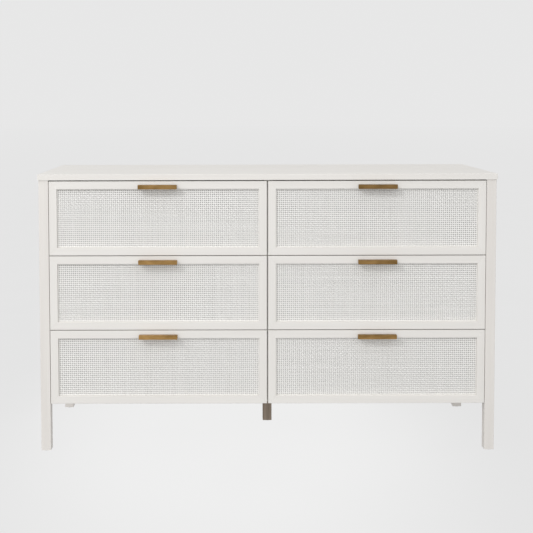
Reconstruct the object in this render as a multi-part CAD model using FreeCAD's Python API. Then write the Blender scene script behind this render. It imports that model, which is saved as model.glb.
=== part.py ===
import FreeCAD
import Part

import math
import os

# A low six-drawer dresser. Millimetres. +Z is up, the front faces -Y and +X is to the right of
# someone who faces the front. The origin is on the floor, at the middle of the bounding box.

# Overall
POST_WIDTH = 1416.0          # over the outer faces of the corner posts
BODY_DEPTH = 454.0           # front face of the posts to the back face of the rear legs
TOP_THICK = 18.0
TOP_SIDE_OVERHANG = 3.0
TOP_FRONT_OVERHANG = 3.0
POST_TOP = 850.0             # underside of the top board
POST = 30.0                  # side of the square corner posts
BODY_BOTTOM = 150.0          # underside of the case
PULL_PROJECTION = 22.0
FRONT_Y = -(BODY_DEPTH + PULL_PROJECTION) / 2 + PULL_PROJECTION
BACK_Y = FRONT_Y + BODY_DEPTH

# Case
SIDE_THICK = 20.0
PARTITION_THICK = 18.0
BACK_THICK = 5.0
BACK_INSET = 8.0             # how far the back panel lies inside the rear legs
RAIL_THICK = 18.0
FRONT_RAIL_HEIGHT = 24.0
REAR_RAIL_HEIGHT = 60.0
STRETCHER_WIDTH = 70.0
INNER_X = POST_WIDTH / 2 - POST
PANEL_BACK_Y = BACK_Y - BACK_INSET
PANEL_FRONT_Y = PANEL_BACK_Y - BACK_THICK

# Legs and glides
GLIDE_RADIUS = 10.0
GLIDE_THICK = 2.5
GLIDE_STEM_RADIUS = 2.4
GLIDE_STEM_LENGTH = 14.0
CENTRE_LEG = 30.0
CENTRE_LEG_X = 9.0           # the support leg stands a little right of the partition
CENTRE_LEG_SETBACK = 280.0

# Drawer fronts
FRONT_THICK = 18.0
FRONT_HEIGHT = 230.6
ROW_PITCH = 233.0
TOP_GAP = 3.5
SIDE_GAP = 1.5
MIDDLE_GAP = 4.0
MEMBER = 24.5                # face width of each rail and stile
EDGE_ROUND = 1.0
MITRE_GROOVE = 0.9
CANE_RECESS = 7.0            # the sheet lies this far behind the frame's face
CANE_THICK = 2.0
FRONT_WIDTH = INNER_X - SIDE_GAP - MIDDLE_GAP / 2
COLUMN_X = (MIDDLE_GAP / 2 + INNER_X - SIDE_GAP) / 2

# Drawer boxes
SLIDE_THICK = 12.7
WALL = 12.0
BOX_DEPTH = 395.0
BOX_HEIGHT = 165.0
BOX_LIFT = 28.0              # drawer box above the lower edge of the front
BOTTOM_THICK = 5.0
BOTTOM_LIFT = 10.0
GROOVE = 5.0
BOX_CENTRE_X = (PARTITION_THICK / 2 + INNER_X) / 2
BOX_HALF_WIDTH = (INNER_X - PARTITION_THICK / 2) / 2 - SLIDE_THICK

# Three-member ball-bearing slides: each member is a channel of bent steel
SLIDE_LENGTH = 390.0
SLIDE_LIFT = 60.0            # slide centre above the underside of the drawer box
SLIDE_STEEL = 1.2
SLIDE_START = FRONT_THICK + 2.0
SLIDE_SCREWS = (40.0, 195.0, 350.0)

# Bar pulls
BAR_LENGTH = 120.0
BAR_HEIGHT = 13.6
BAR_THICK = 12.0
BAR_DROP = 16.6              # bar centre below the top edge of the front
PULL_CENTRES = 96.0
PULL_POST_RADIUS = 4.0
SCREW_RADIUS = 2.0

# Wall brackets and back screws
BRACKET_LENGTH = 70.0
BRACKET_HEIGHT = 24.0
BRACKET_THICK = 2.5
BRACKET_X = 400.0
BRACKET_Z = 818.0
BRACKET_HOLE_RADIUS = 3.0
BRACKET_HOLE_SPACING = 48.0
WOOD_SCREW_RADIUS = 1.8
WOOD_SCREW_LENGTH = 16.0
WOOD_SCREW_HEAD = 3.6

ROWS = ("top", "middle", "bottom")
COLUMNS = (("left", -1), ("right", 1))


def block(x0, x1, y0, y1, z0, z1):
    """A box between two corners."""
    corner = FreeCAD.Vector(min(x0, x1), min(y0, y1), min(z0, z1))
    return Part.makeBox(abs(x1 - x0), abs(y1 - y0), abs(z1 - z0), corner)


def rod(radius, length, start, direction):
    """A cylinder from start along direction."""
    return Part.makeCylinder(radius, length, FreeCAD.Vector(*start), FreeCAD.Vector(*direction))


def moved(shape, x=0.0, y=0.0, z=0.0):
    """A copy of shape at an offset."""
    copy = shape.copy()
    copy.translate(FreeCAD.Vector(x, y, z))
    return copy


def edges_along(shape, axis, test):
    """The straight edges of shape that run along axis 0, 1 or 2 and whose middle passes test."""
    found = []
    for edge in shape.Edges:
        if len(edge.Vertexes) != 2:
            continue
        run = edge.Vertexes[1].Point - edge.Vertexes[0].Point
        if abs(run[axis]) < 0.999 * run.Length or run.Length < 1e-6:
            continue
        if test(edge.CenterOfMass):
            found.append(edge)
    return found


def rounded(shape, radius, axis, test):
    """Shape with the edges that edges_along finds rounded to radius."""
    return shape.makeFillet(radius, edges_along(shape, axis, test))


def export(name, shapes):
    """Writes one node as a STEP file: a single solid, or a compound of separate ones."""
    shape = shapes[0] if len(shapes) == 1 else Part.makeCompound(shapes)
    shape.exportStep(os.path.join("parts", name + ".step"))


def front_bottom_z(row):
    """Height of the lower edge of the drawer fronts in a row, 0 at the top."""
    return POST_TOP - TOP_GAP - FRONT_HEIGHT - row * ROW_PITCH


# ---- the case ----

def top_panel():
    """The top board, with its upper edges and front corners eased."""
    half = POST_WIDTH / 2 + TOP_SIDE_OVERHANG
    front = FRONT_Y - TOP_FRONT_OVERHANG
    top = POST_TOP + TOP_THICK
    board = block(-half, half, front, BACK_Y, POST_TOP, top)
    board = rounded(board, 1.5, 2, lambda p: True)
    upper = [edge for edge in board.Edges if edge.BoundBox.ZMin > top - 0.01]
    return board.makeFillet(1.0, upper)


def leg(x0, y0, height_from):
    """One square post from its glide to the top board, with eased edges and a bore for the glide."""
    post = block(x0, x0 + POST, y0, y0 + POST, height_from, POST_TOP)
    post = rounded(post, 1.0, 2, lambda p: True)
    centre = (x0 + POST / 2, y0 + POST / 2, height_from)
    return post.cut(rod(GLIDE_STEM_RADIUS + 0.05, GLIDE_STEM_LENGTH, centre, (0, 0, 1)))


def leg_corner(side, rear):
    """Lower x and y of a corner post."""
    x0 = POST_WIDTH / 2 - POST if side > 0 else -POST_WIDTH / 2
    y0 = BACK_Y - POST if rear else FRONT_Y
    return x0, y0


def centre_leg():
    """The short square support leg under the middle of the case."""
    x0 = CENTRE_LEG_X - CENTRE_LEG / 2
    y0 = FRONT_Y + CENTRE_LEG_SETBACK
    post = block(x0, x0 + CENTRE_LEG, y0, y0 + CENTRE_LEG, GLIDE_THICK, BODY_BOTTOM)
    post = rounded(post, 1.0, 2, lambda p: True)
    centre = (CENTRE_LEG_X, y0 + CENTRE_LEG / 2, GLIDE_THICK)
    return post.cut(rod(GLIDE_STEM_RADIUS + 0.05, GLIDE_STEM_LENGTH, centre, (0, 0, 1)))


def glide(x, y):
    """A nylon glide: a disc on the floor with a stem up into its leg."""
    disc = rod(GLIDE_RADIUS, GLIDE_THICK, (x, y, 0), (0, 0, 1))
    rim = [edge for edge in disc.Edges if edge.BoundBox.ZMax < 0.01]
    disc = disc.makeChamfer(0.7, rim)
    return disc.fuse(rod(GLIDE_STEM_RADIUS, GLIDE_THICK + GLIDE_STEM_LENGTH - 0.5, (x, y, 0), (0, 0, 1)))


def floor_glides():
    """The five glides."""
    made = []
    for rear in (False, True):
        for side in (-1, 1):
            x0, y0 = leg_corner(side, rear)
            made.append(glide(x0 + POST / 2, y0 + POST / 2))
    made.append(glide(CENTRE_LEG_X, FRONT_Y + CENTRE_LEG_SETBACK + CENTRE_LEG / 2))
    return made


def side_panel(side):
    """A side board between the front and rear posts, its outer face set in from theirs."""
    x0 = side * INNER_X
    x1 = side * (INNER_X + SIDE_THICK)
    return block(x0, x1, FRONT_Y + POST, BACK_Y - POST, BODY_BOTTOM, POST_TOP)


def partition():
    """The upright board between the two columns of drawers, notched round both rear rails."""
    half = PARTITION_THICK / 2
    board = block(-half, half, FRONT_Y + FRONT_THICK + 1, PANEL_FRONT_Y,
                  BODY_BOTTOM + FRONT_RAIL_HEIGHT, POST_TOP)
    rear = PANEL_FRONT_Y - RAIL_THICK
    top_notch = block(-half, half, rear, PANEL_FRONT_Y, POST_TOP - REAR_RAIL_HEIGHT, POST_TOP)
    low_notch = block(-half, half, rear, PANEL_FRONT_Y, BODY_BOTTOM, BODY_BOTTOM + REAR_RAIL_HEIGHT)
    return screw_bores(board.cut(top_notch).cut(low_notch))


def front_bottom_rail():
    """The rail behind the lower edge of the bottom drawers."""
    y0 = FRONT_Y + FRONT_THICK + 1
    return block(-INNER_X, INNER_X, y0, y0 + RAIL_THICK, BODY_BOTTOM, BODY_BOTTOM + FRONT_RAIL_HEIGHT)


def centre_stretcher():
    """The flat rail from front to back that carries the partition and the support leg."""
    half = STRETCHER_WIDTH / 2
    y0 = FRONT_Y + FRONT_THICK + 1 + RAIL_THICK
    return block(-half, half, y0, PANEL_FRONT_Y - RAIL_THICK, BODY_BOTTOM, BODY_BOTTOM + FRONT_RAIL_HEIGHT)


def bracket_holes():
    """Where bolts pass through the wall brackets, the back and the rear top rail, as (x, z)."""
    places = []
    for side in (-1, 1):
        for step in (-1, 1):
            places.append((side * BRACKET_X + step * BRACKET_HOLE_SPACING / 2, BRACKET_Z))
    return places


def back_screw_places():
    """Where screws hold the back panel to the rails and the partition, as (x, z)."""
    places = []
    for x in (-640, -500, -250, -80, 80, 250, 500, 640):
        places.append((x, POST_TOP - REAR_RAIL_HEIGHT + 14))
        places.append((x, BODY_BOTTOM + REAR_RAIL_HEIGHT / 2))
    for z in (330, 500, 670):
        places.append((0, z))
    return places


def drilled(shape, places, radius, y0, y1):
    """Shape with holes along Y at each (x, z) place."""
    for x, z in places:
        shape = shape.cut(rod(radius, y1 - y0, (x, y0, z), (0, 1, 0)))
    return shape


def screw_bores(shape):
    """Shape with the bores that the back screws and the bracket bolts pass through."""
    pilot_start = PANEL_BACK_Y - WOOD_SCREW_LENGTH - 0.5
    shape = drilled(shape, back_screw_places(), WOOD_SCREW_RADIUS + 0.05, pilot_start, BACK_Y)
    fixings = [(-BRACKET_X, BRACKET_Z), (BRACKET_X, BRACKET_Z)]
    shape = drilled(shape, fixings, WOOD_SCREW_RADIUS + 0.05, pilot_start, BACK_Y)
    return drilled(shape, bracket_holes(), BRACKET_HOLE_RADIUS, PANEL_FRONT_Y - RAIL_THICK - 1, BACK_Y)


def back_panel():
    """The thin back, between the rear legs."""
    board = block(-INNER_X, INNER_X, PANEL_FRONT_Y, PANEL_BACK_Y, BODY_BOTTOM, POST_TOP)
    return screw_bores(board)


def rear_rail(z0):
    """A rail across the back, in front of the back panel."""
    rail = block(-INNER_X, INNER_X, PANEL_FRONT_Y - RAIL_THICK, PANEL_FRONT_Y, z0, z0 + REAR_RAIL_HEIGHT)
    return screw_bores(rail)


def wood_screw(x, z, y_face):
    """A pan-head screw driven forwards into the wood behind y_face."""
    tip = PANEL_BACK_Y - WOOD_SCREW_LENGTH
    shank = rod(WOOD_SCREW_RADIUS, y_face - tip, (x, tip, z), (0, 1, 0))
    head = rod(WOOD_SCREW_HEAD, 2.0, (x, y_face, z), (0, 1, 0))
    rim = [edge for edge in head.Edges if edge.BoundBox.YMin > y_face + 1.9]
    head = head.makeFillet(0.9, rim)
    slot = block(x - 2.2, x + 2.2, y_face + 1.2, y_face + 3, z - 0.4, z + 0.4)
    cross = block(x - 0.4, x + 0.4, y_face + 1.2, y_face + 3, z - 2.2, z + 2.2)
    return head.cut(slot).cut(cross).fuse(shank)


def assembly_screws():
    """The screws of the back panel and of the two wall brackets."""
    made = [wood_screw(x, z, PANEL_BACK_Y) for x, z in back_screw_places()]
    for side in (-1, 1):
        made.append(wood_screw(side * BRACKET_X, BRACKET_Z, PANEL_BACK_Y + BRACKET_THICK))
    return made


def wall_brackets():
    """Two flat steel brackets, each with a bolt hole at either end."""
    made = []
    for side in (-1, 1):
        x = side * BRACKET_X
        plate = block(x - BRACKET_LENGTH / 2, x + BRACKET_LENGTH / 2,
                      PANEL_BACK_Y, PANEL_BACK_Y + BRACKET_THICK,
                      BRACKET_Z - BRACKET_HEIGHT / 2, BRACKET_Z + BRACKET_HEIGHT / 2)
        plate = rounded(plate, 6.0, 1, lambda p: True)
        made.append(screw_bores(plate))
    return made


# ---- one drawer, drawn for the left column with its front's middle at x = 0 and its foot at z = 0 ----

def member_profile(along_x, length):
    """A rail or stile of the front frame before its ends are mitred: square section, eased face."""
    if along_x:
        bar = block(-length / 2, length / 2, FRONT_Y, FRONT_Y + FRONT_THICK, 0, MEMBER)
        return rounded(bar, EDGE_ROUND, 0, lambda p: p.y < FRONT_Y + 0.01)
    bar = block(0, MEMBER, FRONT_Y, FRONT_Y + FRONT_THICK, 0, length)
    return rounded(bar, EDGE_ROUND, 2, lambda p: p.y < FRONT_Y + 0.01)


def trapezoid(corners):
    """A prism through the front's thickness over the given (x, z) corners."""
    points = [FreeCAD.Vector(x, FRONT_Y - 1, z) for x, z in corners]
    face = Part.Face(Part.makePolygon(points + points[:1]))
    return face.extrude(FreeCAD.Vector(0, FRONT_THICK + 2, 0))


def mitre_cutters():
    """Square rods laid along the four mitres at the front face, which leave a fine V groove."""
    w, h = FRONT_WIDTH / 2, FRONT_HEIGHT
    side = MITRE_GROOVE / math.sqrt(2)
    run = MEMBER * math.sqrt(2) + 4
    cutters = []
    for x, z, turn in ((-w, 0, 45), (w, 0, 135), (w, h, 225), (-w, h, 315)):
        bar = Part.makeBox(run, side, side, FreeCAD.Vector(-2, -side / 2, -side / 2))
        bar.rotate(FreeCAD.Vector(0, 0, 0), FreeCAD.Vector(1, 0, 0), 45)
        bar.rotate(FreeCAD.Vector(0, 0, 0), FreeCAD.Vector(0, 1, 0), -turn)
        bar.translate(FreeCAD.Vector(x, FRONT_Y, z))
        cutters.append(bar)
    return cutters


def front_frame():
    """The four mitred members of a drawer front, bored for the pull's screws."""
    w, h, m = FRONT_WIDTH / 2, FRONT_HEIGHT, MEMBER
    rail = member_profile(True, FRONT_WIDTH)
    stile = member_profile(False, FRONT_HEIGHT)
    members = [
        rail.common(trapezoid([(-w, 0), (w, 0), (w - m, m), (-w + m, m)])),
        moved(rail, z=h - m).common(trapezoid([(-w, h), (-w + m, h - m), (w - m, h - m), (w, h)])),
        moved(stile, x=-w).common(trapezoid([(-w, 0), (-w + m, m), (-w + m, h - m), (-w, h)])),
        moved(stile, x=w - m).common(trapezoid([(w, 0), (w, h), (w - m, h - m), (w - m, m)])),
    ]
    cutters = mitre_cutters()
    grooved = []
    for member in members:
        for cutter in cutters:
            member = member.cut(cutter)
        grooved.append(member)
    for side in (-1, 1):
        start = (side * PULL_CENTRES / 2, FRONT_Y - 1, h - BAR_DROP)
        grooved[1] = grooved[1].cut(rod(SCREW_RADIUS + 0.2, FRONT_THICK + 2, start, (0, 1, 0)))
    return grooved


def cane_panel():
    """The woven sheet in its recess and the backing board behind it."""
    w, z0, z1 = FRONT_WIDTH / 2 - MEMBER, MEMBER, FRONT_HEIGHT - MEMBER
    face = FRONT_Y + CANE_RECESS
    sheet = block(-w, w, face, face + CANE_THICK, z0, z1)
    backing = block(-w, w, face + CANE_THICK, FRONT_Y + FRONT_THICK, z0, z1)
    return [sheet, backing]


def drawer_box(offset):
    """Front, back and side walls of the drawer box, grooved for the bottom."""
    x0, x1 = offset - BOX_HALF_WIDTH, offset + BOX_HALF_WIDTH
    y0, y1 = FRONT_Y + FRONT_THICK, FRONT_Y + FRONT_THICK + BOX_DEPTH
    z0, z1 = BOX_LIFT, BOX_LIFT + BOX_HEIGHT

    def upper(point):
        return point.z > z1 - 0.01

    walls = [
        rounded(block(x0, x0 + WALL, y0, y1, z0, z1), 2.0, 1, upper),
        rounded(block(x1 - WALL, x1, y0, y1, z0, z1), 2.0, 1, upper),
        rounded(block(x0 + WALL, x1 - WALL, y0, y0 + WALL, z0, z1), 2.0, 0, upper),
        rounded(block(x0 + WALL, x1 - WALL, y1 - WALL, y1, z0, z1), 2.0, 0, upper),
    ]
    board = drawer_bottom(offset)
    return [wall.cut(board) for wall in walls]


def drawer_bottom(offset):
    """The thin bottom board, held in grooves on all four sides."""
    inner = BOX_HALF_WIDTH - WALL + GROOVE
    y0 = FRONT_Y + FRONT_THICK + WALL - GROOVE
    y1 = FRONT_Y + FRONT_THICK + BOX_DEPTH - WALL + GROOVE
    z0 = BOX_LIFT + BOTTOM_LIFT
    return block(offset - inner, offset + inner, y0, y1, z0, z0 + BOTTOM_THICK)


def pull_screw(x, z):
    """A machine screw from the back of the top rail into one post of the pull."""
    back = FRONT_Y + FRONT_THICK
    tip = FRONT_Y - 9.0
    shank = rod(SCREW_RADIUS, back - tip, (x, tip, z), (0, 1, 0))
    head = rod(4.0, 2.4, (x, back, z), (0, 1, 0))
    rim = [edge for edge in head.Edges if edge.BoundBox.YMin > back + 2.3]
    head = head.makeFillet(1.2, rim)
    slot = block(x - 2.6, x + 2.6, back + 1.4, back + 3, z - 0.5, z + 0.5)
    return head.cut(slot).fuse(shank)


def bar_pull():
    """A flat bar on two round posts, with the two screws that hold it."""
    z = FRONT_HEIGHT - BAR_DROP
    face = FRONT_Y - PULL_PROJECTION
    bar = block(-BAR_LENGTH / 2, BAR_LENGTH / 2, face, face + BAR_THICK,
                z - BAR_HEIGHT / 2, z + BAR_HEIGHT / 2)
    bar = rounded(bar, 1.6, 1, lambda p: True)
    rims = [edge for edge in bar.Edges
            if edge.BoundBox.YMax < face + 0.01 or edge.BoundBox.YMin > face + BAR_THICK - 0.01]
    bar = bar.makeFillet(0.9, rims)
    pull = bar
    for side in (-1, 1):
        x = side * PULL_CENTRES / 2
        post = rod(PULL_POST_RADIUS, PULL_PROJECTION - BAR_THICK / 2, (x, face + BAR_THICK / 2, z), (0, 1, 0))
        pull = pull.fuse(post)
    for side in (-1, 1):
        start = (side * PULL_CENTRES / 2, FRONT_Y - 9.5, z)
        pull = pull.cut(rod(SCREW_RADIUS + 0.05, 10, start, (0, 1, 0)))
    return [pull] + [pull_screw(side * PULL_CENTRES / 2, z) for side in (-1, 1)]


def channel(depth_from, depth_to, half_height, web_at_start):
    """A steel channel along Y, open towards one side. Depth is measured along X from the case."""
    y0 = FRONT_Y + SLIDE_START
    y1 = y0 + SLIDE_LENGTH
    body = block(depth_from, depth_to, y0, y1, -half_height, half_height)
    inner0 = depth_from + SLIDE_STEEL if web_at_start else depth_from - 1
    inner1 = depth_to + 1 if web_at_start else depth_to - SLIDE_STEEL
    hollow = block(inner0, inner1, y0 - 1, y1 + 1, -half_height + SLIDE_STEEL, half_height - SLIDE_STEEL)
    return body.cut(hollow)


def with_screws(member, web_x, inward):
    """The channel with screw holes in its web, and the screws' heads and the part inside the web."""
    made = []
    for along in SLIDE_SCREWS:
        y = FRONT_Y + SLIDE_START + along
        start = (web_x - 0.5 * inward, y, 0)
        member = member.cut(rod(2.2, SLIDE_STEEL + 1, start, (inward, 0, 0)))
        stem = rod(2.0, SLIDE_STEEL, (web_x, y, 0), (inward, 0, 0))
        head = rod(3.6, 1.1, (web_x + SLIDE_STEEL * inward, y, 0), (inward, 0, 0))
        made.append(stem.fuse(head))
    return [member] + made


def slide_members():
    """The case, middle and drawer members of one slide, case face at x = 0, drawer face at +x."""
    case = with_screws(channel(0, 9.0, 22.5, True), 0, 1)
    middle = [channel(3.4, 10.6, 18.5, True)]
    drawer = with_screws(channel(5.6, SLIDE_THICK, 15.0, False), SLIDE_THICK, -1)
    return case, middle, drawer


def placed_slide(shapes, wall_x, facing, z):
    """One slide's solids set against a case wall at wall_x that faces +x (1) or -x (-1)."""
    made = []
    for shape in shapes:
        if facing < 0:
            shape = shape.mirror(FreeCAD.Vector(0, 0, 0), FreeCAD.Vector(1, 0, 0))
        made.append(moved(shape, x=wall_x, z=z))
    return made


def write_case():
    """Every node of the case."""
    export("top_panel", [top_panel()])
    for side_name, side in COLUMNS:
        export(side_name + "_side_panel", [side_panel(side)])
        for place, rear in (("front", False), ("rear", True)):
            x0, y0 = leg_corner(side, rear)
            export(place + "_" + side_name + "_leg", [leg(x0, y0, GLIDE_THICK)])
    export("centre_partition", [partition()])
    export("back_panel", [back_panel()])
    export("front_bottom_rail", [front_bottom_rail()])
    export("rear_bottom_rail", [rear_rail(BODY_BOTTOM)])
    export("rear_top_rail", [rear_rail(POST_TOP - REAR_RAIL_HEIGHT)])
    export("centre_stretcher", [centre_stretcher()])
    export("centre_leg", [centre_leg()])
    export("floor_glides", floor_glides())
    export("assembly_screws", assembly_screws())
    export("wall_brackets", wall_brackets())


def write_drawers():
    """Every node of the six drawers, and the case members of their slides."""
    frame = front_frame()
    cane = cane_panel()
    pull = bar_pull()
    case_member, middle_member, drawer_member = slide_members()
    case_rails = []
    for row, row_name in enumerate(ROWS):
        z = front_bottom_z(row)
        slide_z = z + BOX_LIFT + SLIDE_LIFT
        for column_name, side in COLUMNS:
            name = row_name + "_" + column_name
            x = side * COLUMN_X
            offset = side * (BOX_CENTRE_X - COLUMN_X)
            walls = ((side * PARTITION_THICK / 2, side), (side * INNER_X, -side))
            export(name + "_front_frame", [moved(shape, x=x, z=z) for shape in frame])
            export(name + "_cane_panel", [moved(shape, x=x, z=z) for shape in cane])
            export(name + "_bar_pull", [moved(shape, x=x, z=z) for shape in pull])
            export(name + "_drawer_box", [moved(shape, x=x, z=z) for shape in drawer_box(offset)])
            export(name + "_drawer_bottom", [moved(drawer_bottom(offset), x=x, z=z)])
            middle = []
            drawer = []
            for wall_x, facing in walls:
                case_rails += placed_slide(case_member, wall_x, facing, slide_z)
                middle += placed_slide(middle_member, wall_x, facing, slide_z)
                drawer += placed_slide(drawer_member, wall_x, facing, slide_z)
            export(name + "_middle_slide_rails", middle)
            export(name + "_drawer_slide_rails", drawer)
    export("case_slide_rails", case_rails)


os.makedirs("parts", exist_ok=True)
write_case()
write_drawers()
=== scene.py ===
import math
import random

import bpy
from mathutils import Matrix, Vector


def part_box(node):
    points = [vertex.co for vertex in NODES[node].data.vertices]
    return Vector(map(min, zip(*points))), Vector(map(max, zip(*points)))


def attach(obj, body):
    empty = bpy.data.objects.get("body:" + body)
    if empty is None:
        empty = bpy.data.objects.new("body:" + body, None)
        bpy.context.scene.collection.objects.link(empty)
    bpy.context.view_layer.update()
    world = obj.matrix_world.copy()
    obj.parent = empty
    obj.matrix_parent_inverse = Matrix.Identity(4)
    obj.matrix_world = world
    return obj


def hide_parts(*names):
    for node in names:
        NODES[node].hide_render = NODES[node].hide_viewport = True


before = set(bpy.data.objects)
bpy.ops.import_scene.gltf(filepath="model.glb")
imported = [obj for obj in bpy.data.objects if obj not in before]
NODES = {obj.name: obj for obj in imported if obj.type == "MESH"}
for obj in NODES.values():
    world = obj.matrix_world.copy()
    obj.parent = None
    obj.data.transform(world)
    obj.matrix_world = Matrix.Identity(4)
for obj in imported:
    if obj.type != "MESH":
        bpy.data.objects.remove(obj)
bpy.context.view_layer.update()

ROWS = ("top", "middle", "bottom")
COLUMNS = ("left", "right")
DRAWERS = [row + "_" + column for row in ROWS for column in COLUMNS]

# Places that the paint and wood grain follow, in metres
FRONT_CENTRE_X = 0.33925          # middle of a drawer front, either side of the centre line
FRONT_FOOT_Z = 0.1499             # lower edge of the bottom row of fronts
ROW_PITCH = 0.233
FRONT_WIDTH = 0.6745
FRONT_HEIGHT = 0.2306
PULL_MIDDLE_Z = 0.597             # height of the middle row's pulls
BOX_CENTRE_X = 0.3435             # middle of a drawer box
BOX_INNER_HALF = 0.3098

# The woven cane
CANE_WIDTH = 0.6255
CANE_HEIGHT = 0.1816
CANE_PITCH = 0.0063               # about this, so that the strands fill the opening
STRAND_WIDTH = 0.0042
STRAND_CROWN = 0.00030            # how far a strand's face stands above its edges
STRAND_THICK = 0.00012            # below its edges
STRAND_SHOULDER = 0.6             # where the face's flat part ends, as a share of the half width
STRAND_HOLLOW = 0.3               # how deep its middle is, as a share of the crown
WEAVE_RISE = 0.00038              # half the height between over and under
WEAVE_DEPTH = 0.002               # the sheet's thickness, in front of the backing
WEAVE_CLEAR = 0.00012             # between the frontmost strand and the sheet's face
STRAND_DRIFT = 0.0003             # how far a strand lies off its even place
STRAND_WIDTH_SPREAD = 0.10        # how far its width is off, as a share
# Painted shade on the strands where they dip between crossings, for the level and the upright ones
LEVEL_DIP_SHADE = 0.06               # how much darker the level strands are where they dip
UPRIGHT_DIP_SHADE = 0.13
WEAVE_SEED = 7

# Camera
CAMERA_PLACE = (-0.1098, -3.1572, 1.0894)
CAMERA_PITCH = 2.81               # degrees down from level
CAMERA_ROLL = -0.129              # degrees
CAMERA_LENS = 64.51               # millimetres, on the sensor's width
CAMERA_SENSOR = 36.0
CAMERA_SHIFT = (0.065, -0.22)


# ---- shader helpers ----

class Shader:
    """A new material's node tree, with short calls for the nodes that the materials share."""

    def __init__(self, name):
        self.material = bpy.data.materials.new(name)
        self.material.use_nodes = True
        self.tree = self.material.node_tree
        self.bsdf = self.tree.nodes["Principled BSDF"]
        self.place = self.new("ShaderNodeTexCoord").outputs["Object"]

    def new(self, kind, **settings):
        """A new node with the settings given."""
        node = self.tree.nodes.new(kind)
        for key, value in settings.items():
            setattr(node, key, value)
        return node

    def link(self, source, target):
        self.tree.links.new(source, target)

    def math(self, operation, *values):
        """A Math node; each value is a number or a socket."""
        node = self.new("ShaderNodeMath", operation=operation)
        for socket, value in zip(node.inputs, values):
            if isinstance(value, (int, float)):
                socket.default_value = value
            else:
                self.link(value, socket)
        return node.outputs[0]

    def axis(self, name):
        """One coordinate of the piece's own frame, in metres."""
        split = self.new("ShaderNodeSeparateXYZ")
        self.link(self.place, split.inputs[0])
        return split.outputs[name]

    def stretched(self, scale):
        """Coordinates multiplied by scale, so that noise comes out long where scale is small."""
        node = self.new("ShaderNodeVectorMath", operation="MULTIPLY")
        self.link(self.place, node.inputs[0])
        node.inputs[1].default_value = scale
        return node.outputs[0]

    def noise(self, coordinates, detail=3.0, roughness=0.55, distortion=0.0):
        """Smooth noise, from 0 to 1, at coordinates that are already scaled."""
        node = self.new("ShaderNodeTexNoise")
        self.link(coordinates, node.inputs["Vector"])
        node.inputs["Scale"].default_value = 1.0
        node.inputs["Detail"].default_value = detail
        node.inputs["Roughness"].default_value = roughness
        node.inputs["Distortion"].default_value = distortion
        return node.outputs["Fac"]

    def ramp(self, value, low, high, start=0.3, end=0.7):
        """Value mapped to a colour between low and high."""
        node = self.new("ShaderNodeValToRGB")
        node.color_ramp.elements[0].position = start
        node.color_ramp.elements[0].color = (*low, 1.0)
        node.color_ramp.elements[1].position = end
        node.color_ramp.elements[1].color = (*high, 1.0)
        self.link(value, node.inputs[0])
        return node.outputs[0]

    def span(self, value, low, high):
        """Value from about 0.3 to 0.7 mapped to low to high."""
        node = self.new("ShaderNodeMapRange")
        self.link(value, node.inputs[0])
        node.inputs["From Min"].default_value = 0.3
        node.inputs["From Max"].default_value = 0.7
        node.inputs["To Min"].default_value = low
        node.inputs["To Max"].default_value = high
        return node.outputs[0]

    def scaled(self, colour, factor):
        """Colour multiplied by a factor socket."""
        node = self.new("ShaderNodeVectorMath", operation="SCALE")
        self.link(colour, node.inputs[0])
        self.link(factor, node.inputs["Scale"])
        return node.outputs[0]

    def tinted(self, colour, value, low, high):
        """Colour multiplied by a grey that follows value."""
        return self.scaled(colour, self.span(value, low, high))

    def mix(self, share, first, second):
        """First where share is 0 and second where it is 1, for numbers."""
        node = self.new("ShaderNodeMix", data_type="FLOAT")
        self.link(share, node.inputs[0])
        self.link(first, node.inputs[2])
        self.link(second, node.inputs[3])
        return node.outputs[0]

    def finish(self, colour, rough, height, bump, depth, metallic=0.0):
        """Connects the surface: colour and roughness sockets, and a height for the bump."""
        self.link(colour, self.bsdf.inputs["Base Color"])
        self.link(rough, self.bsdf.inputs["Roughness"])
        self.bsdf.inputs["Metallic"].default_value = metallic
        node = self.new("ShaderNodeBump")
        node.inputs["Strength"].default_value = bump
        node.inputs["Distance"].default_value = depth
        self.link(height, node.inputs["Height"])
        self.link(node.outputs[0], self.bsdf.inputs["Normal"])
        return self.material


def grain_scale(axis, along, across):
    """Noise scale with the long direction of the grain on one axis."""
    return tuple(along if name == axis else across for name in "xyz")


# ---- materials ----

PULL_REFLECTION_FALL_ACROSS = 0.13               # painted reflection: how much darker the right column's brass is than the mean
PULL_REFLECTION_FALL_UP = 0.16                   # and the top row's
PAINT_LOW = (0.812, 0.788, 0.753)
PAINT_HIGH = (0.848, 0.827, 0.793)
LEG_SHADED_LOW = (0.780, 0.748, 0.711)       # the legs' coat is a touch warmer, and darker as painted shade
LEG_SHADED_HIGH = (0.817, 0.787, 0.751)


def painted_wood(name, grain, low=PAINT_LOW, high=PAINT_HIGH):
    """Warm white satin paint with the wood's fine grain just showing through. grain gives the
    noise socket of the material's grain."""
    shader = Shader(name)
    fine = grain(shader, 9.0, 420.0)
    broad = grain(shader, 2.0, 60.0)
    cloud = shader.noise(shader.stretched((2.5, 2.5, 2.5)), detail=2.0)
    colour = shader.tinted(shader.ramp(broad, low, high), cloud, 0.985, 1.01)
    rough = shader.span(fine, 0.40, 0.52)
    return shader.finish(colour, rough, fine, bump=0.28, depth=0.00012)


def straight_grain(axis):
    """Grain along one axis all over."""
    def grain(shader, along, across):
        return shader.noise(shader.stretched(grain_scale(axis, along, across)))
    return grain


def front_places(shader):
    """How far a point is outward and upward from the middle of its own drawer front."""
    outward = shader.math("SUBTRACT", shader.math("ABSOLUTE", shader.axis("X")), FRONT_CENTRE_X)
    up_row = shader.math("FLOORED_MODULO", shader.math("SUBTRACT", shader.axis("Z"), FRONT_FOOT_Z), ROW_PITCH)
    return outward, shader.math("SUBTRACT", up_row, FRONT_HEIGHT / 2)


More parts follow.
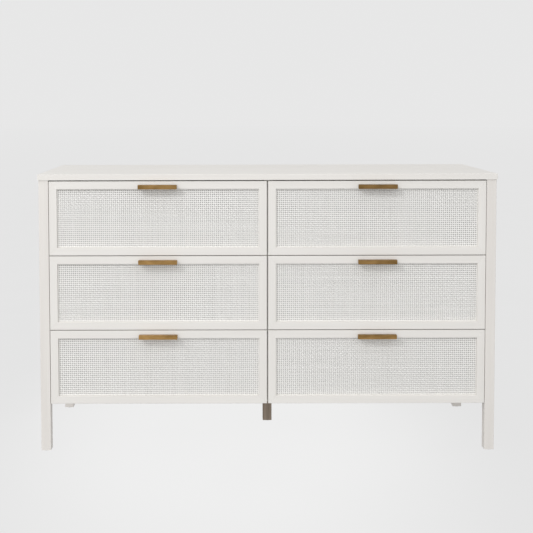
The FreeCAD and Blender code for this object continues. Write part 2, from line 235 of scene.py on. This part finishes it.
def front_grain(shader, along, across):
    """Grain of a mitred drawer front: upright in the stiles and level in the rails, with the
    change on the mitre line."""
    outward, upward = front_places(shader)
    side_gap = shader.math("SUBTRACT", FRONT_WIDTH / 2, shader.math("ABSOLUTE", outward))
    end_gap = shader.math("SUBTRACT", FRONT_HEIGHT / 2, shader.math("ABSOLUTE", upward))
    in_stile = shader.math("LESS_THAN", side_gap, end_gap)
    level = shader.noise(shader.stretched(grain_scale("x", along, across)))
    upright = shader.noise(shader.stretched(grain_scale("z", along, across)))
    return shader.mix(in_stile, level, upright)


def box_grain(shader, along, across):
    """Grain of a drawer box: front to back in its sides, and left to right in its ends."""
    from_centre = shader.math("ABSOLUTE", shader.math("SUBTRACT", shader.math("ABSOLUTE", shader.axis("X")),
                                                      BOX_CENTRE_X))
    in_side = shader.math("GREATER_THAN", from_centre, BOX_INNER_HALF)
    ends = shader.noise(shader.stretched(grain_scale("x", along, across)), distortion=0.4)
    sides = shader.noise(shader.stretched(grain_scale("y", along, across)), distortion=0.4)
    return shader.mix(in_side, ends, sides)


def clear_wood(name, grain, low, high):
    """Clear-coated pale wood: broad figure, fine pores and a low sheen."""
    shader = Shader(name)
    figure = grain(shader, 1.6, 26.0)
    pores = grain(shader, 14.0, 700.0)
    colour = shader.tinted(shader.ramp(figure, low, high, 0.32, 0.68), pores, 0.93, 1.03)
    rough = shader.span(pores, 0.42, 0.58)
    return shader.finish(colour, rough, pores, bump=0.25, depth=0.00015)


def strand_dip(shader, axis):
    """0 where the strands cross and 1 halfway between crossings: the mask of the strands' painted shade."""
    outward, upward = front_places(shader)
    place, length = (outward, CANE_WIDTH) if axis == "x" else (upward, CANE_HEIGHT)
    from_first = shader.math("ADD", place, (length - STRAND_WIDTH) / 2)
    turn = shader.math("MULTIPLY", from_first, 2 * math.pi / strand_pitch(length))
    return shader.math("SUBTRACT", 0.5, shader.math("MULTIPLY", shader.math("COSINE", turn), 0.5))


def cane_strand(name, axis, dip_shade):
    """Painted cane: each strand has its own slight tone, with fine fibres along it, and painted shade makes
    it darker, by the share given, where it dips between its neighbours."""
    shader = Shader(name)
    fibre = shader.noise(shader.stretched(grain_scale(axis, 40.0, 2600.0)))
    strand = shader.noise(shader.stretched(grain_scale(axis, 3.0, 240.0)), detail=1.0)
    base = shader.ramp(strand, (0.93, 0.917, 0.888), (0.97, 0.96, 0.936))
    # painted shade: darker where the strand dips between crossings
    tone = shader.math("SUBTRACT", 1.0, shader.math("MULTIPLY", strand_dip(shader, axis), dip_shade))
    colour = shader.scaled(shader.tinted(base, fibre, 0.95, 1.03), tone)
    rough = shader.span(fibre, 0.48, 0.62)
    return shader.finish(colour, rough, fibre, bump=0.3, depth=0.0001)


def cane_backing_shade():
    """The board behind the cane, coloured grey as painted shade so that the openings read dark, with a faint
    mottle.
    """
    shader = Shader("cane_backing_shade")
    mottle = shader.noise(shader.stretched((60.0, 60.0, 60.0)), detail=5.0)
    # painted shade: the grey stands in for the shade in the cane's openings
    colour = shader.ramp(mottle, (0.50, 0.49, 0.475), (0.56, 0.55, 0.535))
    rough = shader.span(mottle, 0.62, 0.75)
    return shader.finish(colour, rough, mottle, bump=0.2, depth=0.0001)


def pull_painted_reflection(shader):
    """Painted reflection: the brass's colour is scaled by where the pull stands, palest at the lower left and
    darker to the right and upward.
    """
    across = shader.math("DIVIDE", shader.axis("X"), FRONT_CENTRE_X)
    upward = shader.math("DIVIDE", shader.math("SUBTRACT", shader.axis("Z"), PULL_MIDDLE_Z), ROW_PITCH)
    across_fall = shader.math("MULTIPLY", across, PULL_REFLECTION_FALL_ACROSS)
    upward_fall = shader.math("MULTIPLY", upward, PULL_REFLECTION_FALL_UP)
    return shader.math("SUBTRACT", 1.0, shader.math("ADD", across_fall, upward_fall))


def antique_brass():
    """Satin antique brass, brushed along the bar, with darker patina in soft patches."""
    shader = Shader("antique_brass")
    brushed = shader.noise(shader.stretched(grain_scale("x", 25.0, 2200.0)), detail=4.0)
    patina = shader.noise(shader.stretched((20.0, 50.0, 50.0)), detail=4.0)
    base = shader.ramp(patina, (0.245, 0.144, 0.050), (0.405, 0.246, 0.094), 0.34, 0.64)
    # painted reflection: palest on the lower left pulls
    colour = shader.scaled(shader.tinted(base, brushed, 0.90, 1.06), pull_painted_reflection(shader))
    rough = shader.span(brushed, 0.30, 0.42)
    return shader.finish(colour, rough, brushed, bump=0.15, depth=0.00005, metallic=1.0)


def zinc_steel():
    """Zinc-plated steel with rolled streaks along it and faint spangle."""
    shader = Shader("zinc_steel")
    rolled = shader.noise(shader.stretched(grain_scale("y", 12.0, 900.0)))
    spangle = shader.noise(shader.stretched((140.0, 140.0, 140.0)), detail=2.0)
    base = shader.ramp(spangle, (0.50, 0.51, 0.53), (0.66, 0.67, 0.69))
    colour = shader.tinted(base, rolled, 0.93, 1.03)
    rough = shader.span(rolled, 0.30, 0.44)
    return shader.finish(colour, rough, rolled, bump=0.12, depth=0.00005, metallic=1.0)


def nylon():
    """Moulded nylon: pale, slightly mottled, with a matt skin."""
    shader = Shader("nylon")
    mottle = shader.noise(shader.stretched((300.0, 300.0, 300.0)))
    colour = shader.ramp(mottle, (0.70, 0.69, 0.65), (0.78, 0.77, 0.73))
    rough = shader.span(mottle, 0.50, 0.62)
    return shader.finish(colour, rough, mottle, bump=0.2, depth=0.0001)


def hardboard():
    """Painted hardboard: flat white over short pressed fibres."""
    shader = Shader("back_board")
    fibre = shader.noise(shader.stretched((180.0, 180.0, 180.0)), detail=6.0, roughness=0.7, distortion=1.2)
    cloud = shader.noise(shader.stretched((5.0, 5.0, 5.0)))
    colour = shader.tinted(shader.ramp(cloud, (0.74, 0.725, 0.69), (0.79, 0.775, 0.74)), fibre, 0.975, 1.015)
    rough = shader.span(fibre, 0.58, 0.72)
    return shader.finish(colour, rough, fibre, bump=0.3, depth=0.0002)


def taupe_leg():
    """Brown-grey stained wood with upright grain."""
    shader = Shader("taupe_leg")
    figure = shader.noise(shader.stretched(grain_scale("z", 4.0, 120.0)), distortion=0.5)
    pores = shader.noise(shader.stretched(grain_scale("z", 30.0, 1500.0)))
    colour = shader.tinted(shader.ramp(figure, (0.27, 0.215, 0.165), (0.39, 0.315, 0.25)), pores, 0.85, 1.08)
    rough = shader.span(pores, 0.45, 0.6)
    return shader.finish(colour, rough, pores, bump=0.3, depth=0.0002)


FINISH_BY_ENDING = (
    ("top_panel", "paint_x"),
    ("bottom_rail", "paint_x"),
    ("rear_top_rail", "paint_x"),
    ("centre_stretcher", "paint_y"),
    ("centre_leg", "taupe"),
    ("_leg", "paint_leg_shaded"),
    ("floor_glides", "nylon"),
    ("back_panel", "hardboard"),
    ("_front_frame", "paint_front"),
    ("_bar_pull", "brass"),
    ("_drawer_box", "box_wood"),
    ("_drawer_bottom", "board_wood"),
    ("_rails", "steel"),
    ("assembly_screws", "steel"),
    ("wall_brackets", "steel"),
)


def finish_of(name):
    """The finish of a CAD node: the first ending that its name has, or upright-grained paint."""
    for ending, kind in FINISH_BY_ENDING:
        if name.endswith(ending):
            return kind
    return "paint_z"


def paint_nodes(materials):
    """Gives each CAD node its finish."""
    for name, node in NODES.items():
        finish = materials[finish_of(name)]
        for held in node.material_slots:
            held.material = finish
        if not node.material_slots:
            node.data.materials.append(finish)


# ---- the woven cane ----

def strand_points(run, centre, width, face, over_first):
    """Rings of six points along one strand. run lists the places along it: its end, then each
    crossing and the middle of the opening after it. The strand passes over and under in turn."""
    half = width / 2
    ring = (
        (-1.0, STRAND_CROWN),
        (-STRAND_SHOULDER, 0.0),
        (0.0, STRAND_CROWN * STRAND_HOLLOW),
        (STRAND_SHOULDER, 0.0),
        (1.0, STRAND_CROWN),
        (0.0, STRAND_CROWN + STRAND_THICK),
    )
    rings = []
    for index, place in enumerate(run):
        if index % 2 == 0:
            lift = 0.0
        else:
            lift = WEAVE_RISE if ((index // 2) % 2 == 0) == over_first else -WEAVE_RISE
        base = face + WEAVE_CLEAR + WEAVE_RISE - lift
        rings.append([(place, centre + across * half, base + depth) for across, depth in ring])
    return rings


def add_strand(rings, level, vertices, faces):
    """Joins the rings of one strand into a closed bar. Level strands run along X, others along Z."""
    first = len(vertices)
    size = len(rings[0])
    for ring in rings:
        for place, across, depth in ring:
            vertices.append((place, depth, across) if level else (across, depth, place))
    def face_of(*corners):
        faces.append(corners if level else tuple(reversed(corners)))
    for step in range(len(rings) - 1):
        start = first + step * size
        for side in range(size):
            following = (side + 1) % size
            face_of(start + side, start + following, start + size + following, start + size + side)
    last = first + (len(rings) - 1) * size
    face_of(*reversed(range(first, first + size)))
    face_of(*range(last, last + size))


def strand_pitch(length):
    """The pitch nearest to the cane's own that fills a length from edge to edge."""
    steps = round((length - STRAND_WIDTH) / CANE_PITCH)
    return (length - STRAND_WIDTH) / steps


def strand_places(low, high):
    """Centres of the strands that fill the opening from edge to edge."""
    pitch = strand_pitch(high - low)
    count = round((high - low - STRAND_WIDTH) / pitch) + 1
    return [low + STRAND_WIDTH / 2 + pitch * index for index in range(count)]


def weave_run(low, high, crossings):
    """Places along a strand: its end, then each crossing and the middle of the opening after it."""
    run = [low]
    for place, following in zip(crossings, crossings[1:] + [2 * high - crossings[-1]]):
        run += [place, (place + following) / 2]
    return run


def cane_weave(name, materials, draw):
    """The woven sheet and its backing board, in the place of the drawer's plain cane panel."""
    low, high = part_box(name + "_cane_panel")
    across = strand_places(low.x, high.x)
    upward = strand_places(low.z, high.z)
    vertices, faces, slots = [], [], []
    plans = (
        (True, upward, low.z, high.z, weave_run(low.x, high.x, across)),
        (False, across, low.x, high.x, weave_run(low.z, high.z, upward)),
    )
    for level, places, start, end, run in plans:
        for index, place in enumerate(places):
            width = STRAND_WIDTH * (1 + draw.uniform(-STRAND_WIDTH_SPREAD, STRAND_WIDTH_SPREAD))
            drifted = place + draw.uniform(-STRAND_DRIFT, STRAND_DRIFT)
            centre = min(max(drifted, start + width / 2), end - width / 2)
            over_first = (index % 2 == 0) == level
            add_strand(strand_points(run, centre, width, low.y, over_first), level, vertices, faces)
        slots += [0 if level else 1] * (len(faces) - len(slots))
    add_block(Vector((low.x, low.y + WEAVE_DEPTH, low.z)), high, vertices, faces)
    slots += [2] * (len(faces) - len(slots))
    mesh = bpy.data.meshes.new(name + "_cane_weave")
    mesh.from_pydata(vertices, [], faces)
    for key in ("cane_level", "cane_upright", "cane_backing_shade"):
        mesh.materials.append(materials[key])
    mesh.polygons.foreach_set("material_index", slots)
    mesh.polygons.foreach_set("use_smooth", [slot < 2 for slot in slots])
    mesh.update()
    piece = bpy.data.objects.new(name + "_cane_weave", mesh)
    bpy.context.scene.collection.objects.link(piece)
    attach(piece, name + "_drawer")
    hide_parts(name + "_cane_panel")


def add_block(low, high, vertices, faces):
    """A closed box between two corners."""
    first = len(vertices)
    for x in (low.x, high.x):
        for y in (low.y, high.y):
            for z in (low.z, high.z):
                vertices.append((x, y, z))
    for corners in ((0, 1, 3, 2), (4, 6, 7, 5), (0, 4, 5, 1), (2, 3, 7, 6), (0, 2, 6, 4), (1, 5, 7, 3)):
        faces.append(tuple(first + corner for corner in corners))


# ---- studio ----

STAGE_NEAR = (0.851, 0.851, 0.850)    # the paper round the object
STAGE_FAR = (0.768, 0.768, 0.768)     # some way off
STAGE_RIM = (0.791, 0.791, 0.791)     # at the skyline
STAGE_SKY = (0.802, 0.802, 0.802)     # above the skyline
GLOW_STRETCH = (1.35, 0.75, 1.0)      # makes the light patch of paper narrow and deep
GLOW_OFFSET = (0.16, 0.0, 0.0)        # and sets it a little to the left
GLOW_REACH = 4.0                      # metres from the patch's middle that its tone is laid out over
GLOW_START = 0.10                     # share of the reach where the tone starts to fall
GLOW_END = 0.32                       # and where it stops
STAGE_SHARE = 0.4                     # share of the paper's glow that lights the object
STAGE_RADIUS = 40.0
STAGE_LEVEL = -0.0003                 # just under the glides
STAGE_SIDES = 96
SURROUND_TOWARDS = (-0.60, -0.80, 0.0)  # the side that the surround's light is strongest from
SURROUND_DIM_UP_TO = -0.6             # cosine of the angle from that side, where it is still dim
SURROUND_BRIGHT_FROM = 0.2            # and where it is fully bright
SURROUND_BRIGHT = 0.98
SURROUND_DIM = 0.56


def stage_material():
    """Pale seamless paper that glows, lightest round the object."""
    shader = Shader("studio_paper")
    paper = shader.noise(shader.stretched((3.0, 3.0, 3.0)), detail=2.0)
    away = shader.new("ShaderNodeVectorMath", operation="LENGTH")
    shader.link(shader.place, away.inputs[0])
    patch = shader.new("ShaderNodeVectorMath", operation="MULTIPLY_ADD")
    shader.link(shader.place, patch.inputs[0])
    patch.inputs[1].default_value = GLOW_STRETCH
    patch.inputs[2].default_value = GLOW_OFFSET
    from_patch = shader.new("ShaderNodeVectorMath", operation="LENGTH")
    shader.link(patch.outputs[0], from_patch.inputs[0])
    floor = shader.new("ShaderNodeValToRGB")
    floor.color_ramp.interpolation = "EASE"
    floor.color_ramp.elements[0].position = GLOW_START
    floor.color_ramp.elements[0].color = (*STAGE_NEAR, 1.0)
    floor.color_ramp.elements[1].position = GLOW_END
    floor.color_ramp.elements[1].color = (*STAGE_FAR, 1.0)
    shader.link(shader.math("DIVIDE", from_patch.outputs["Value"], GLOW_REACH), floor.inputs[0])
    mixed = shader.new("ShaderNodeMix", data_type="RGBA")
    shader.link(shader.math("DIVIDE", away.outputs["Value"], STAGE_RADIUS), mixed.inputs[0])
    shader.link(floor.outputs[0], mixed.inputs[6])
    mixed.inputs[7].default_value = (*STAGE_RIM, 1.0)
    colour = shader.tinted(mixed.outputs[2], paper, 0.997, 1.003)
    scattered = shader.new("ShaderNodeLightPath").outputs["Is Diffuse Ray"]
    strength = shader.math("SUBTRACT", 1.0, shader.math("MULTIPLY", scattered, 1.0 - STAGE_SHARE))
    shader.material.cycles.emission_sampling = "NONE"
    shader.link(colour, shader.bsdf.inputs["Emission Color"])
    shader.link(strength, shader.bsdf.inputs["Emission Strength"])
    shader.bsdf.inputs["Base Color"].default_value = (0.01, 0.01, 0.01, 1.0)
    shader.bsdf.inputs["Roughness"].default_value = 1.0
    shader.bsdf.inputs["Specular IOR Level"].default_value = 0.0
    show_only_from_above(shader)
    return shader.material


def show_only_from_above(shader):
    """Leaves the paper clear to anyone looking up through it, so the underside can be seen."""
    choice = shader.new("ShaderNodeMixShader")
    shader.link(shader.new("ShaderNodeNewGeometry").outputs["Backfacing"], choice.inputs[0])
    shader.link(shader.bsdf.outputs[0], choice.inputs[1])
    shader.link(shader.new("ShaderNodeBsdfTransparent").outputs[0], choice.inputs[2])
    shader.link(choice.outputs[0], shader.tree.nodes["Material Output"].inputs["Surface"])


def build_stage():
    """A wide round floor of paper, whose rim meets the surround at the skyline."""
    turns = [2 * math.pi * index / STAGE_SIDES for index in range(STAGE_SIDES)]
    vertices = [(STAGE_RADIUS * math.cos(turn), STAGE_RADIUS * math.sin(turn), STAGE_LEVEL) for turn in turns]
    mesh = bpy.data.meshes.new("studio_paper")
    mesh.from_pydata(vertices, [], [tuple(range(STAGE_SIDES))])
    mesh.materials.append(stage_material())
    paper = bpy.data.objects.new("studio_paper", mesh)
    bpy.context.scene.collection.objects.link(paper)


def build_surround():
    """A pale surround: its light is stronger from the front left, and its look is even."""
    world = bpy.data.worlds.new("surround")
    world.use_nodes = True
    tree = world.node_tree
    light = tree.nodes["Background"]
    light.inputs["Color"].default_value = (1.0, 1.0, 1.0, 1.0)
    towards = tree.nodes.new("ShaderNodeVectorMath")
    towards.operation = "DOT_PRODUCT"
    tree.links.new(tree.nodes.new("ShaderNodeTexCoord").outputs["Generated"], towards.inputs[0])
    towards.inputs[1].default_value = SURROUND_TOWARDS
    strength = tree.nodes.new("ShaderNodeMapRange")
    strength.inputs["From Min"].default_value = SURROUND_DIM_UP_TO
    strength.inputs["From Max"].default_value = SURROUND_BRIGHT_FROM
    strength.inputs["To Min"].default_value = SURROUND_DIM
    strength.inputs["To Max"].default_value = SURROUND_BRIGHT
    tree.links.new(towards.outputs["Value"], strength.inputs[0])
    tree.links.new(strength.outputs[0], light.inputs["Strength"])
    look = tree.nodes.new("ShaderNodeBackground")
    look.inputs["Color"].default_value = (*STAGE_SKY, 1.0)
    choice = tree.nodes.new("ShaderNodeMixShader")
    tree.links.new(tree.nodes.new("ShaderNodeLightPath").outputs["Is Camera Ray"], choice.inputs[0])
    tree.links.new(light.outputs[0], choice.inputs[1])
    tree.links.new(look.outputs[0], choice.inputs[2])
    tree.links.new(choice.outputs[0], tree.nodes["World Output"].inputs["Surface"])
    bpy.context.scene.world = world


def area_light(name, place, target, size, power):
    """A square soft light at place that faces target."""
    data = bpy.data.lights.new(name, "AREA")
    data.shape = "SQUARE"
    data.size = size
    data.energy = power
    lamp = bpy.data.objects.new(name, data)
    lamp.location = place
    lamp.rotation_mode = "QUATERNION"
    lamp.rotation_quaternion = (Vector(target) - Vector(place)).to_track_quat("-Z", "Y")
    bpy.context.scene.collection.objects.link(lamp)
    return lamp


def build_light():
    """A soft key from the upper left in front, a weak wide fill, and a low fill on the back."""
    area_light("key", (-2.9, -3.95, 4.1), (0.0, -0.1, 0.45), 0.8, 77.0)
    front = area_light("front_fill", (-0.6, -4.4, 1.4), (0.0, 0.0, 0.45), 2.8, 34.0)
    back = area_light("back_fill", (0.3, 4.2, 0.5), (0.0, 0.2, 0.45), 0.9, 46.0)
    for fill in (front, back):
        fill.visible_camera = False
        fill.visible_glossy = False


def build_camera():
    """A camera at the left of centre, a little above the top board."""
    data = bpy.data.cameras.new("camera")
    data.lens = CAMERA_LENS
    data.sensor_width = CAMERA_SENSOR
    data.shift_x, data.shift_y = CAMERA_SHIFT
    camera = bpy.data.objects.new("camera", data)
    level = Matrix.Rotation(math.radians(90.0 - CAMERA_PITCH), 4, "X")
    roll = Matrix.Rotation(math.radians(CAMERA_ROLL), 4, "Z")
    camera.matrix_world = Matrix.Translation(CAMERA_PLACE) @ level @ roll
    bpy.context.scene.collection.objects.link(camera)
    bpy.context.scene.camera = camera


# ---- the scene ----

def build_materials():
    """Every finish, by the name that the pieces ask for."""
    return {
        "paint_x": painted_wood("painted_wood_level", straight_grain("x")),
        "paint_y": painted_wood("painted_wood_deep", straight_grain("y")),
        "paint_z": painted_wood("painted_wood_upright", straight_grain("z")),
        # painted shade: the legs get a darker, warmer copy of the paint
        "paint_leg_shaded": painted_wood("painted_wood_leg_shaded", straight_grain("z"), LEG_SHADED_LOW, LEG_SHADED_HIGH),
        "paint_front": painted_wood("painted_wood_front", front_grain),
        "box_wood": clear_wood("drawer_wood", box_grain, (0.56, 0.42, 0.27), (0.70, 0.56, 0.39)),
        "board_wood": clear_wood("drawer_board", straight_grain("x"), (0.62, 0.49, 0.34), (0.74, 0.62, 0.46)),
        "cane_level": cane_strand("cane_level", "x", LEVEL_DIP_SHADE),
        "cane_upright": cane_strand("cane_upright", "z", UPRIGHT_DIP_SHADE),
        "cane_backing_shade": cane_backing_shade(),
        "brass": antique_brass(),
        "steel": zinc_steel(),
        "nylon": nylon(),
        "hardboard": hardboard(),
        "taupe": taupe_leg(),
    }


bpy.context.scene.view_settings.view_transform = "Standard"
bpy.context.scene.view_settings.look = "None"
build_camera()
MATERIALS = build_materials()
paint_nodes(MATERIALS)
DRAW = random.Random(WEAVE_SEED)
for drawer in DRAWERS:
    cane_weave(drawer, MATERIALS, DRAW)
build_stage()
build_surround()
build_light()
